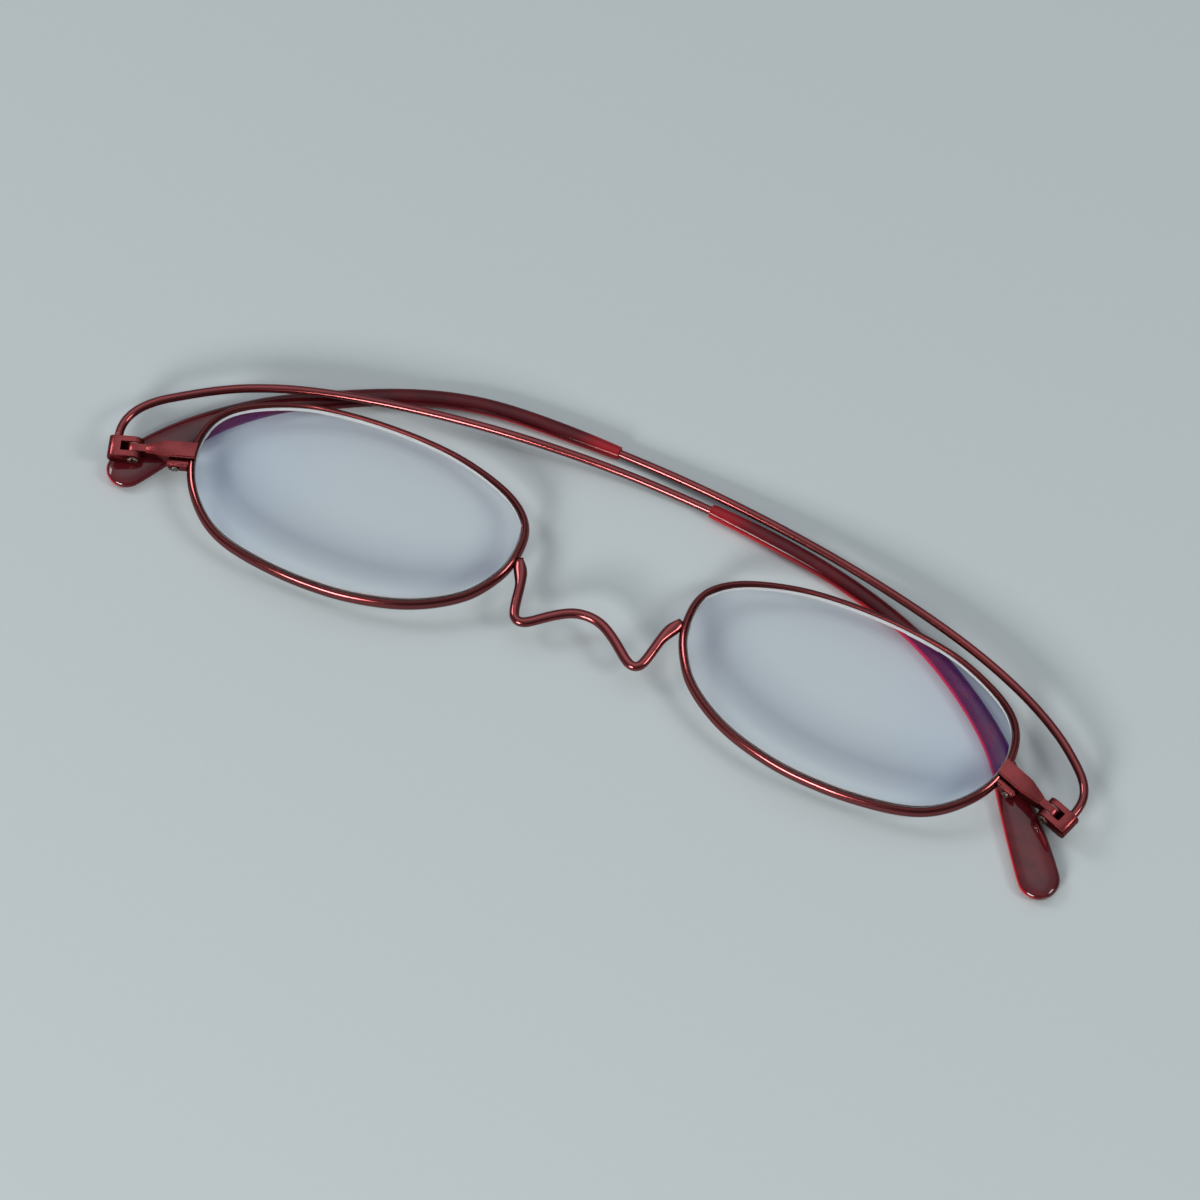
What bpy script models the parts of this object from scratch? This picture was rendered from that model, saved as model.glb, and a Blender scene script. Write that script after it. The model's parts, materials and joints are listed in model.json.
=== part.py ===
# Folding reading glasses, folded flat on a table with the front face up.
# Metres, +Z up. +Y points from the lens centres to the lens tops, and -X is the photo's left side.
import math

import bmesh
import bpy
import numpy as np

MM = 0.001

# Levels above the table
TIP_THICKNESS = 1.80 * MM
FRONT_CLEARANCE = 0.35 * MM

# Lenses and rims
LENS_SPACING = 68.00 * MM
EYE_HALF_WIDTH = 22.00 * MM
EYE_HALF_HEIGHT = 11.80 * MM
EYE_SIDE_SHARE = 0.985
RIM_WIDTH = 1.00 * MM
RIM_DEPTH = 2.00 * MM
RIM_CREST_SHARE = 0.30
RIM_FACE_SHARE = 0.62
GROOVE_DEPTH = 0.50 * MM
GROOVE_HALF_WIDTH = 0.45 * MM
SOLDER_GAP = 0.05 * MM
LENS_CLEARANCE = 0.12 * MM
BEVEL_HEIGHT = 0.37 * MM
BEVEL_HALF_WIDTH = 0.30 * MM
LENS_CENTRE_THICKNESS = 1.80 * MM
LENS_CENTRE_RISE = 0.68 * MM
LENS_FRONT_RADIUS = 230.00 * MM
LENS_BACK_RADIUS = 460.00 * MM

# The eye's outline, as shares of its half width and half height, from the temple side over the top
EYE_SHARES = (
    (0.984, 0.000),
    (0.977, 0.240),
    (0.932, 0.440),
    (0.818, 0.618),
    (0.682, 0.750),
    (0.482, 0.886),
    (0.286, 0.950),
    (0.136, 0.981),
    (0.000, 0.994),
    (-0.141, 0.999),
    (-0.302, 0.988),
    (-0.497, 0.944),
    (-0.745, 0.818),
    (-0.882, 0.690),
    (-0.976, 0.500),
    (-0.993, 0.263),
    (-0.977, 0.000),
    (-0.914, -0.237),
    (-0.843, -0.422),
    (-0.641, -0.691),
    (-0.450, -0.839),
    (-0.284, -0.917),
    (-0.139, -0.962),
    (0.000, -0.979),
    (0.141, -0.983),
    (0.298, -0.965),
    (0.493, -0.915),
    (0.712, -0.766),
    (0.891, -0.445),
    (0.950, -0.245),
)

# Bridge wire
BRIDGE_DIAMETER = 1.30 * MM
BRIDGE_LEVEL = 0.30 * MM
BRIDGE_SETBACK = 1.63 * MM
BRIDGE_DROP = 6.25 * MM
BRIDGE_END_SHARES = (0.50, 0.85)

# The bridge's right half from its middle out to the rim, as shares of its reach and its drop
BRIDGE_SHARES = (
    (0.000, -0.34),
    (0.095, -0.355),
    (0.190, -0.40),
    (0.375, -0.585),
    (0.560, -0.835),
    (0.665, -0.965),
    (0.735, -1.000),
    (0.795, -0.960),
    (0.838, -0.800),
    (0.865, -0.600),
    (0.900, -0.280),
    (0.945, 0.030),
    (1.000, 0.230),
)

# End pieces, which slope down from the rims
END_ROOT_Y = -1.10 * MM
END_TILT_LEFT_DEG = 17.5
END_TILT_RIGHT_DEG = 21.0
PLATE_INNER = 2.00 * MM
PLATE_TOP = 1.38 * MM
PLATE_BOTTOM = 0.90 * MM
PLATE_UPPER = 1.20 * MM
PLATE_LOWER = 1.05 * MM
PLATE_EDGE = 0.18 * MM
SHOULDER_CLEARANCE = 0.64 * MM
TONGUE_WIDTH = 1.00 * MM
TONGUE_RADIUS = 1.00 * MM
NECK_CLEARANCE = 0.35 * MM
NECK_EDGE = 0.06 * MM

# Rim locks
SPLIT_GAP = 0.22 * MM
LOCK_SETBACK = 1.40 * MM
LOCK_STANDOFF = 2.02 * MM
LOCK_INNER = 1.00 * MM
LOCK_WIDTH = 2.00 * MM
LOCK_HEIGHT = 1.80 * MM
LOCK_LENGTH = 0.85 * MM
LOCK_EDGE = 0.20 * MM
LOCK_SCREW_DIAMETER = 0.70 * MM
LOCK_HEAD_DIAMETER = 1.15 * MM
LOCK_HEAD_HEIGHT = 0.25 * MM
LOCK_BORE_DEPTH = 1.40 * MM

# Hinges
FORK_RADIUS = 1.15 * MM
FORK_LENGTH = 3.35 * MM
FORK_WIDTH = 2.80 * MM
FORK_CORNER = 0.85 * MM
SLOT_WIDTH = 1.30 * MM
SLOT_REACH = 1.65 * MM
WASHER_THICKNESS = 0.10 * MM
WASHER_DIAMETER = 1.80 * MM
HINGE_SCREW_DIAMETER = 0.80 * MM
HINGE_HEAD_DIAMETER = 1.60 * MM
HINGE_HEAD_HEIGHT = 0.20 * MM
SCREW_CLEARANCE = 0.05 * MM
HEAD_GAP = 0.03 * MM
DRIVER_SLOT_WIDTH = 0.24 * MM
DRIVER_SLOT_DEPTH = 0.12 * MM
HEAD_SIDE_SHARE = 0.60
HEAD_TOP_SHARE = 0.80

# Temple wires and tips
TEMPLE_DIAMETER = 1.15 * MM
WIRE_CLEARANCE = 0.08 * MM
SOCKET_OUT = 2.30 * MM
SOCKET_DEPTH = 0.60 * MM
ELBOW_STAND = 0.25 * MM
TIP_SETBACK = 6.34 * MM
SLOPE_START_SHARES = (0.400, 0.167)
SLOPE_END_SHARE = 0.675
SLEEVE_START_SHARES = (0.685, 0.668)
CORE_LENGTH = 30.00 * MM
BORE_EXTRA = 0.60 * MM
SLEEVE_DIAMETER = 1.85 * MM
PADDLE_WIDTH = 5.60 * MM

# Each temple's line from above its fork to the paddle's end, out and up, as shares of its reach
TEMPLE_SHARES_LEFT = (
    (0.0000, 0.0000),
    (-0.0006, 0.0083),
    (-0.0027, 0.0163),
    (-0.0075, 0.0251),
    (-0.0153, 0.0338),
    (-0.0262, 0.0413),
    (-0.0397, 0.0479),
    (-0.0571, 0.0535),
    (-0.0795, 0.0601),
    (-0.1119, 0.0678),
    (-0.1574, 0.0735),
    (-0.2198, 0.0731),
    (-0.3027, 0.0646),
    (-0.3849, 0.0508),
    (-0.4666, 0.0342),
    (-0.5475, 0.0144),
    (-0.6266, -0.0117),
    (-0.7037, -0.0433),
    (-0.7780, -0.0805),
    (-0.8474, -0.1260),
    (-0.8968, -0.1706),
    (-0.9387, -0.2224),
    (-0.9681, -0.2726),
    (-0.9857, -0.3194),
    (-0.9959, -0.3467),
    (-1.0029, -0.3663),
    (-1.0096, -0.3861),
    (-1.0146, -0.4011),
)
TEMPLE_SHARES_RIGHT = (
    (0.0000, 0.0000),
    (-0.0007, 0.0083),
    (-0.0025, 0.0164),
    (-0.0071, 0.0252),
    (-0.0153, 0.0334),
    (-0.0268, 0.0402),
    (-0.0406, 0.0460),
    (-0.0579, 0.0522),
    (-0.0805, 0.0578),
    (-0.1134, 0.0630),
    (-0.1591, 0.0660),
    (-0.2216, 0.0643),
    (-0.3046, 0.0558),
    (-0.3871, 0.0429),
    (-0.4688, 0.0258),
    (-0.5494, 0.0046),
    (-0.6286, -0.0213),
    (-0.7064, -0.0510),
    (-0.7817, -0.0865),
    (-0.8477, -0.1371),
    (-0.8936, -0.1854),
    (-0.9360, -0.2368),
    (-0.9693, -0.2945),
    (-0.9885, -0.3495),
    (-1.0004, -0.4031),
)

# The tip's width and thickness along it: share of its length, share of the way from sleeve to paddle
TIP_SHARES = (
    (0.00, 0.00),
    (0.06, 0.08),
    (0.13, 0.12),
    (0.37, 0.13),
    (0.49, 0.15),
    (0.55, 0.19),
    (0.61, 0.24),
    (0.67, 0.30),
    (0.73, 0.38),
    (0.79, 0.50),
    (0.85, 0.71),
    (0.91, 0.90),
    (0.96, 0.98),
    (1.00, 1.00),
)
TIP_SQUARENESS = 2.2
TIP_END_ROUNDING = 0.4

# Mesh fineness
CURVE_SAMPLES = 1200
SMOOTH_DEG = 40
TIP_SMOOTH_DEG = 60
EYE_STEPS = 66
LENS_STEPS = 48
LENS_RING_SHARES = (0.40, 0.75)
RIM_TURNS = 3
BRIDGE_STEPS = 46
BRIDGE_SIDES = 10
WIRE_SIDES = 8
ELBOW_STEPS = 18
ELBOW_SHARE = 0.13
WIRE_STEPS = 34
TIP_SIDES = 12
TIP_STEPS = 24
TIP_END_STEPS = 6
SCREW_SIDES = 16
ROUND_SIDES = 16
CORNER_STEPS = 4
EDGE_SEGMENTS = 2
CORNER_DEG = 30
OVERRUN = 1.00 * MM

FRONT_LEVEL = TIP_THICKNESS + FRONT_CLEARANCE + RIM_DEPTH / 2
FORK_REACH = math.hypot(FORK_LENGTH, FORK_RADIUS)
SHOULDER = FORK_REACH + SHOULDER_CLEARANCE
NECK = FORK_RADIUS + NECK_CLEARANCE
HINGE_REACH = SHOULDER + LOCK_SETBACK + LOCK_STANDOFF
END_ROOT_X = LENS_SPACING / 2 + EYE_HALF_WIDTH
BRIDGE_REACH = LENS_SPACING / 2 - EYE_SIDE_SHARE * EYE_HALF_WIDTH - BRIDGE_SETBACK
TILTS = (math.radians(END_TILT_LEFT_DEG), math.radians(END_TILT_RIGHT_DEG))
HINGE_SPAN = 2 * END_ROOT_X + HINGE_REACH * (math.cos(TILTS[0]) + math.cos(TILTS[1]))
TEMPLE_REACH = HINGE_SPAN - TIP_SETBACK
SLOPE_END = SLOPE_END_SHARE * TEMPLE_REACH

METAL = (0.26, 0.035, 0.035, 1.0)
STEEL = (0.45, 0.40, 0.38, 1.0)
TIP_RED = (0.17, 0.008, 0.014, 1.0)
CLEAR = (0.80, 0.84, 0.92, 1.0)
NYLON = (0.75, 0.74, 0.70, 1.0)


def start_clean():
    for old in list(bpy.data.objects):
        bpy.data.objects.remove(old, do_unlink=True)


def material(name, colour, roughness, metallic, alpha=1.0):
    made = bpy.data.materials.new(name)
    made.use_nodes = True
    shader = made.node_tree.nodes["Principled BSDF"]
    shader.inputs["Base Color"].default_value = colour
    shader.inputs["Roughness"].default_value = roughness
    shader.inputs["Metallic"].default_value = metallic
    shader.inputs["Alpha"].default_value = alpha
    return made


def metal(name):
    return material(name + "_paint", METAL, 0.35, 0.8)


def steel(name):
    return material(name + "_steel", STEEL, 0.3, 1.0)


# Curves

def spline(points, closed=False):
    """A smooth curve through the points: returns a function of a parameter from 0 to 1."""
    points = np.array(points, dtype=float)
    if closed:
        points = np.vstack([points, points[:1]])
    steps = np.linalg.norm(np.diff(points, axis=0), axis=1)
    knots = np.concatenate([[0.0], np.cumsum(np.sqrt(steps))])
    knots /= knots[-1]
    gaps = np.diff(knots)
    count = len(points)
    system = np.zeros((count, count))
    known = np.zeros_like(points)
    slopes = np.diff(points, axis=0) / gaps[:, None]
    for i in range(1, count - 1):
        system[i, i - 1] = gaps[i - 1]
        system[i, i] = 2 * (gaps[i - 1] + gaps[i])
        system[i, i + 1] = gaps[i]
        known[i] = 6 * (slopes[i] - slopes[i - 1])
    if closed:
        system[0, 0] = 2 * (gaps[0] + gaps[-1])
        system[0, 1] = gaps[0]
        system[0, -2] = gaps[-1]
        known[0] = 6 * (slopes[0] - slopes[-1])
        system[-1, 0] = 1
        system[-1, -1] = -1
    else:
        system[0, 0] = 1
        system[-1, -1] = 1
    bends = np.linalg.solve(system, known)

    def at(share):
        i = int(np.clip(np.searchsorted(knots, share) - 1, 0, count - 2))
        span = gaps[i]
        before = (knots[i + 1] - share) / span
        after = (share - knots[i]) / span
        curve = before * points[i] + after * points[i + 1]
        lift = (before ** 3 - before) * bends[i] + (after ** 3 - after) * bends[i + 1]
        return curve + lift * span ** 2 / 6

    return at


def by_length(curve):
    """The same curve as a function of the distance along it, and its whole length."""
    shares = np.linspace(0, 1, CURVE_SAMPLES)
    places = np.array([curve(share) for share in shares])
    lengths = np.concatenate([[0.0], np.cumsum(np.linalg.norm(np.diff(places, axis=0), axis=1))])

    def at(distance):
        return np.array([np.interp(distance, lengths, places[:, k]) for k in range(places.shape[1])])

    return at, lengths[-1]


def even_loop(points, steps):
    """Evenly spaced points on a closed smooth curve, with their outward normals."""
    at, whole = by_length(spline(points, closed=True))
    places = np.array([at(whole * i / steps) for i in range(steps)])
    tangents = np.roll(places, -1, axis=0) - np.roll(places, 1, axis=0)
    tangents /= np.linalg.norm(tangents, axis=1)[:, None]
    normals = np.stack([tangents[:, 1], -tangents[:, 0]], axis=1)
    return places, normals


# Meshes

def finish(name, bm, paint, smooth_deg=SMOOTH_DEG):
    bmesh.ops.recalc_face_normals(bm, faces=bm.faces[:])
    mesh = bpy.data.meshes.new(name)
    bm.to_mesh(mesh)
    bm.free()
    made = bpy.data.objects.new(name, mesh)
    bpy.context.scene.collection.objects.link(made)
    mesh.shade_smooth()
    mesh.set_sharp_from_angle(angle=math.radians(smooth_deg))
    if paint:
        mesh.materials.append(paint)
    return made


def loft(rings, closed=False, apexes=None):
    """Joins rings of points by quads; an open loft gets a flat cap or a fan to an apex at each end."""
    bm = bmesh.new()
    rows = [[bm.verts.new(point) for point in ring] for ring in rings]
    pairs = list(zip(rows, rows[1:]))
    if closed:
        pairs.append((rows[-1], rows[0]))
    for low, high in pairs:
        for i in range(len(low)):
            j = (i + 1) % len(low)
            bm.faces.new((low[i], low[j], high[j], high[i]))
    if apexes:
        for row, apex in zip((rows[0], rows[-1]), apexes):
            point = bm.verts.new(apex)
            for i in range(len(row)):
                bm.faces.new((row[i], row[(i + 1) % len(row)], point))
    elif not closed:
        bm.faces.new(rows[0])
        bm.faces.new(reversed(rows[-1]))
    return bm


def prism(outline, low, high):
    """A flat outline in X and Z, extruded along Y from low to high."""
    bm = bmesh.new()
    face = bm.faces.new([bm.verts.new((x, low, z)) for x, z in outline])
    grown = bmesh.ops.extrude_face_region(bm, geom=[face])
    moved = [item for item in grown["geom"] if isinstance(item, bmesh.types.BMVert)]
    bmesh.ops.translate(bm, vec=(0, high - low, 0), verts=moved)
    return bm


def lathe(profile, sides, x=0.0, z=0.0):
    """Turns a profile of (radius, y) pairs about the Y direction through x and z."""
    rings = []
    for radius, y in profile:
        turn = [2 * math.pi * i / sides for i in range(sides)]
        rings.append([(x + radius * math.cos(a), y, z + radius * math.sin(a)) for a in turn])
    return loft(rings)


def arc(x, z, radius, start_deg, end_deg, steps):
    turn = [math.radians(start_deg + (end_deg - start_deg) * i / steps) for i in range(steps + 1)]
    return [(x + radius * math.cos(a), z + radius * math.sin(a)) for a in turn]


def mirrored(bm, sign):
    if sign < 0:
        bmesh.ops.scale(bm, vec=(-1, 1, 1), verts=bm.verts[:])
    return bm


def seat(piece, parent):
    piece.parent = parent
    return piece


def cut(piece, bm, name, parent=None, operation="DIFFERENCE"):
    """Cuts a piece with another mesh, or joins it; the cutter stays in the file as a hidden guide."""
    tool = finish(piece.name + "_" + name, bm, None)
    tool.parent = parent or piece.parent
    tool.hide_render = True
    tool.display_type = "WIRE"
    made = piece.modifiers.new(name, "BOOLEAN")
    made.operation = operation
    made.solver = "EXACT"
    made.object = tool


def frames_along(places):
    """A side direction for each point of a nearly flat path, level with the table."""
    tangents = np.gradient(places, axis=0)
    sides = np.stack([-tangents[:, 1], tangents[:, 0], np.zeros(len(places))], axis=1)
    sides /= np.linalg.norm(sides, axis=1)[:, None]
    tangents /= np.linalg.norm(tangents, axis=1)[:, None]
    return tangents, sides, np.cross(tangents, sides)


def round_rings(places, radius, sides):
    tangents, across, up = frames_along(places)
    rings = []
    for k in range(len(places)):
        ring = []
        for i in range(sides):
            a = 2 * math.pi * (i + 0.5) / sides
            ring.append(places[k] + radius * (math.cos(a) * across[k] + math.sin(a) * up[k]))
        rings.append(ring)
    return rings


# Front

def eye_points(sign):
    return [(sign * (LENS_SPACING / 2 + u * EYE_HALF_WIDTH), v * EYE_HALF_HEIGHT) for u, v in EYE_SHARES]


def eye_loop(sign, steps):
    places, normals = even_loop(eye_points(sign), steps)
    return places, normals * sign


def eye_ring(sign, steps, section):
    """Sweeps a section of (outward, up) pairs round one eye."""
    places, normals = eye_loop(sign, steps)
    rings = []
    for place, normal in zip(places, normals):
        rings.append([(*(place + normal * out), FRONT_LEVEL + up) for out, up in section])
    return loft(rings, closed=True)


def rim_section(grow=0.0, grooved=True):
    """The rim's section: flat inner face with a V groove, crest near it and a rounded outer side."""
    crest = RIM_WIDTH * RIM_CREST_SHARE
    face = RIM_DEPTH / 2 * RIM_FACE_SHARE
    top = RIM_DEPTH / 2 + grow
    section = []
    for i in range(2 * RIM_TURNS + 1):
        a = math.pi * (0.5 - i / (2 * RIM_TURNS))
        section.append((crest + (RIM_WIDTH - crest + grow) * math.cos(a), top * math.sin(a)))
    if grooved:
        section += [(0, -face), (0, -GROOVE_HALF_WIDTH), (GROOVE_DEPTH, 0), (0, GROOVE_HALF_WIDTH)]
    else:
        section.append((-grow, -top))
    section.append((-grow, face + grow))
    return section


def rim_seat(piece, sign, front):
    """Cuts away the space that the rim takes, with room for the solder."""
    ring = eye_ring(sign, EYE_STEPS, rim_section(SOLDER_GAP, grooved=False))
    cut(piece, ring, "rim_seat", parent=front)


def eye_opening(piece, sign, front):
    """Cuts away what would stand inside the eye."""
    places = eye_loop(sign, EYE_STEPS)[0]
    levels = (FRONT_LEVEL - RIM_DEPTH, FRONT_LEVEL + RIM_DEPTH)
    cut(piece, loft([[(*place, level) for place in places] for level in levels]), "opening", parent=front)


def rim(side):
    piece = finish("rim_" + side.name, eye_ring(side.sign, EYE_STEPS, rim_section()), metal("rim"))
    seat(piece, side.front)
    inner = -HINGE_REACH - PLATE_INNER
    deep = RIM_DEPTH
    gap = prism([(inner, -deep), (-SHOULDER, -deep), (-SHOULDER, deep), (inner, deep)],
                -PLATE_LOWER - SPLIT_GAP, -PLATE_LOWER)
    cut(piece, mirrored(gap, side.sign), "split", parent=side.end)
    return piece


def lens(side):
    places, normals = eye_loop(side.sign, LENS_STEPS)
    centre = np.array([side.sign * LENS_SPACING / 2, 0.0])
    edge = places - normals * LENS_CLEARANCE
    middle = FRONT_LEVEL + LENS_CENTRE_RISE

    def face(shares, radius, half):
        rings = []
        for share in shares:
            flat = centre + (edge - centre) * share
            away = np.linalg.norm(flat - centre, axis=1)
            heights = middle + half - (radius - np.sqrt(radius ** 2 - away ** 2))
            rings.append(np.column_stack([flat, heights]))
        return rings

    half = LENS_CENTRE_THICKNESS / 2
    ends = (*LENS_RING_SHARES, 1.0)
    front = face(ends, LENS_FRONT_RADIUS, half)
    back = face(ends, LENS_BACK_RADIUS, -half)
    bevel = []
    for out, up in ((0.0, BEVEL_HALF_WIDTH), (BEVEL_HEIGHT, 0.0), (0.0, -BEVEL_HALF_WIDTH)):
        bevel.append(np.column_stack([edge + normals * out, np.full(len(edge), FRONT_LEVEL + up)]))
    apexes = ((*centre, middle + half), (*centre, middle - half))
    bm = loft(front + bevel + back[::-1], apexes=apexes)
    clear = material("lens_clear", CLEAR, 0.05, 0.0, 0.35)
    return seat(finish("lens_" + side.name, bm, clear), side.front)


def bridge(front, sides):
    half = [(u * BRIDGE_REACH, v * BRIDGE_DROP) for u, v in BRIDGE_SHARES]
    points = [(-x, y) for x, y in reversed(half[1:])] + half
    at, whole = by_length(spline(points))
    level = FRONT_LEVEL + BRIDGE_LEVEL
    places = np.array([(*at(whole * i / BRIDGE_STEPS), level) for i in range(BRIDGE_STEPS + 1)])
    rings = round_rings(places, BRIDGE_DIAMETER / 2, BRIDGE_SIDES)
    tangents = frames_along(places)[0]
    nose = BRIDGE_DIAMETER / 2
    for share in BRIDGE_END_SHARES:
        reach = nose * share
        radius = nose * math.sqrt(1 - share ** 2)
        first = round_rings(places[:2] - tangents[0] * reach, radius, BRIDGE_SIDES)[0]
        last = round_rings(places[-2:] + tangents[-1] * reach, radius, BRIDGE_SIDES)[1]
        rings = [first] + rings + [last]
    piece = seat(finish("bridge_wire", loft(rings), metal("bridge")), front)
    for side in sides:
        rim_seat(piece, side.sign, front)
    return piece


# End pieces and rim locks, drawn in their hinge's frame: X out, Y along the hinge axis

def lock_place():
    """How far inboard of the hinge the rim lock's screw stands."""
    return SHOULDER + LOCK_SETBACK


def end_piece(side):
    """A plate that tapers to a tongue with a round eye for the hinge."""
    sign = side.sign
    half = TONGUE_WIDTH / 2 + NECK_EDGE
    rise = TONGUE_RADIUS + NECK_EDGE
    stations = (
        (-HINGE_REACH - PLATE_INNER, PLATE_LOWER, PLATE_UPPER, PLATE_BOTTOM, PLATE_TOP),
        (-SHOULDER, PLATE_LOWER, PLATE_UPPER, PLATE_BOTTOM, PLATE_TOP),
        (-NECK, half, half, rise, rise),
    )
    arm = loft([
        [(x, -lower, -under), (x, upper, -under), (x, upper, top), (x, -lower, top)]
        for x, lower, upper, under, top in stations
    ])
    bmesh.ops.recalc_face_normals(arm, faces=arm.faces[:])
    corners = [edge for edge in arm.edges if edge.calc_face_angle() > math.radians(CORNER_DEG)]
    bmesh.ops.bevel(arm, geom=corners, offset=PLATE_EDGE, segments=EDGE_SEGMENTS, affect="EDGES")
    piece = seat(finish("end_piece_" + side.name, mirrored(arm, sign), metal("end")), side.end)
    eye = arc(0, 0, TONGUE_RADIUS, -90, 90, ROUND_SIDES // 2)
    root = -NECK - TONGUE_WIDTH / 2
    bar = [(root, TONGUE_RADIUS)] + [(root, -TONGUE_RADIUS)] + eye
    bar = [(x, z * PLATE_BOTTOM / TONGUE_RADIUS if x < -TONGUE_RADIUS else z) for x, z in bar]
    tongue = prism(bar, -TONGUE_WIDTH / 2, TONGUE_WIDTH / 2)
    cut(piece, mirrored(tongue, sign), "tongue", operation="UNION")
    radius = HINGE_SCREW_DIAMETER / 2 + SCREW_CLEARANCE
    hole = lathe([(radius, -TONGUE_WIDTH), (radius, TONGUE_WIDTH)], ROUND_SIDES)
    cut(piece, hole, "screw_hole")
    radius = LOCK_SCREW_DIAMETER / 2 + SCREW_CLEARANCE
    place = -sign * lock_place()
    low = -PLATE_LOWER - OVERRUN
    bore = lathe([(radius, low), (radius, LOCK_BORE_DEPTH - PLATE_LOWER)], ROUND_SIDES, x=place)
    cut(piece, bore, "lock_bore")
    rim_seat(piece, sign, side.front)
    eye_opening(piece, sign, side.front)
    return piece


def rim_lock(side):
    sign = side.sign
    top = -PLATE_LOWER - SPLIT_GAP
    low = top - LOCK_LENGTH
    place = -lock_place()
    half = LOCK_WIDTH / 2
    rise = LOCK_HEIGHT / 2
    inner = place - half - LOCK_INNER
    block = prism(
        [(inner, -rise), (place + half, -rise), (place + half, rise), (inner, rise)],
        low,
        top,
    )
    bmesh.ops.bevel(block, geom=block.edges[:], offset=LOCK_EDGE, segments=EDGE_SEGMENTS, affect="EDGES")
    piece = seat(finish("rim_lock_" + side.name, mirrored(block, sign), metal("lock")), side.end)
    radius = LOCK_SCREW_DIAMETER / 2 + SCREW_CLEARANCE
    bore = lathe([(radius, low - OVERRUN), (radius, top + OVERRUN)], ROUND_SIDES, x=sign * place)
    cut(piece, bore, "bore")
    rim_seat(piece, sign, side.front)
    eye_opening(piece, sign, side.front)
    return piece


def screw(name, parent, x, seat_y, end_y, diameter, head_diameter, head_height):
    """A slotted screw along Y, with its head below seat_y."""
    radius = diameter / 2
    head = head_diameter / 2
    under = seat_y - HEAD_GAP
    profile = (
        (radius - SCREW_CLEARANCE, end_y),
        (radius, end_y - SCREW_CLEARANCE),
        (radius, under),
        (head, under),
        (head, under - head_height * HEAD_SIDE_SHARE),
        (head * HEAD_TOP_SHARE, under - head_height),
    )
    piece = seat(finish(name, lathe(profile, SCREW_SIDES, x=x), steel("screw")), parent)
    wide = head + OVERRUN
    half = DRIVER_SLOT_WIDTH / 2
    low = under - head_height - OVERRUN
    slot = prism(
        [(x - half, -wide), (x + half, -wide), (x + half, wide), (x - half, wide)],
        low,
        under - head_height + DRIVER_SLOT_DEPTH,
    )
    cut(piece, slot, "driver_slot")
    return piece


def rim_lock_screw(side):
    seat_y = -PLATE_LOWER - SPLIT_GAP - LOCK_LENGTH
    end_y = LOCK_BORE_DEPTH - PLATE_LOWER - SPLIT_GAP
    return screw("rim_lock_screw_" + side.name, side.end, -side.sign * lock_place(), seat_y, end_y,
                 LOCK_SCREW_DIAMETER, LOCK_HEAD_DIAMETER, LOCK_HEAD_HEIGHT)


# Hinges

def washer(side, name, direction):
    gap = (SLOT_WIDTH - TONGUE_WIDTH) / 2
    middle = direction * (TONGUE_WIDTH + gap) / 2
    outer = WASHER_DIAMETER / 2
    inner = HINGE_SCREW_DIAMETER / 2 + SCREW_CLEARANCE
    low = middle - WASHER_THICKNESS / 2
    high = middle + WASHER_THICKNESS / 2
    rings = []
    for radius, y in ((inner, low), (outer, low), (outer, high), (inner, high)):
        turn = [2 * math.pi * i / SCREW_SIDES for i in range(SCREW_SIDES)]
        rings.append([(radius * math.cos(a), y, radius * math.sin(a)) for a in turn])
    paint = material("washer_nylon", NYLON, 0.5, 0.0)
    return seat(finish(name + side.name, loft(rings, closed=True), paint), side.end)


def fork(side):
    sign = side.sign
    outer = FORK_LENGTH - FORK_CORNER
    rise = FORK_RADIUS - FORK_CORNER
    outline = arc(0, 0, FORK_RADIUS, 90, 270, ROUND_SIDES // 2)
    outline += arc(outer, -rise, FORK_CORNER, -90, 0, CORNER_STEPS)
    outline += arc(outer, rise, FORK_CORNER, 0, 90, CORNER_STEPS)
    block = prism(outline, -FORK_WIDTH / 2, FORK_WIDTH / 2)
    piece = seat(finish("hinge_fork_" + side.name, mirrored(block, sign), metal("fork")), side.hinge)
    far = -FORK_RADIUS - OVERRUN
    high = FORK_RADIUS + OVERRUN
    slot = prism([(far, -high), (SLOT_REACH, -high), (SLOT_REACH, high), (far, high)],
                 -SLOT_WIDTH / 2, SLOT_WIDTH / 2)
    cut(piece, mirrored(slot, sign), "slot")
    radius = HINGE_SCREW_DIAMETER / 2 + SCREW_CLEARANCE
    hole = lathe([(radius, -FORK_WIDTH), (radius, FORK_WIDTH)], ROUND_SIDES)
    cut(piece, hole, "screw_hole")
    radius = TEMPLE_DIAMETER / 2 + WIRE_CLEARANCE
    low = FORK_WIDTH / 2 - SOCKET_DEPTH - WIRE_CLEARANCE
    socket = lathe([(radius, low), (radius, FORK_WIDTH)], ROUND_SIDES, x=sign * SOCKET_OUT)
    cut(piece, socket, "socket")
    return piece


def hinge_screw(side):
    return screw("hinge_screw_" + side.name, side.hinge, 0.0, -FORK_WIDTH / 2, FORK_WIDTH / 2,
                 HINGE_SCREW_DIAMETER, HINGE_HEAD_DIAMETER, HINGE_HEAD_HEIGHT)


# Temples

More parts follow.
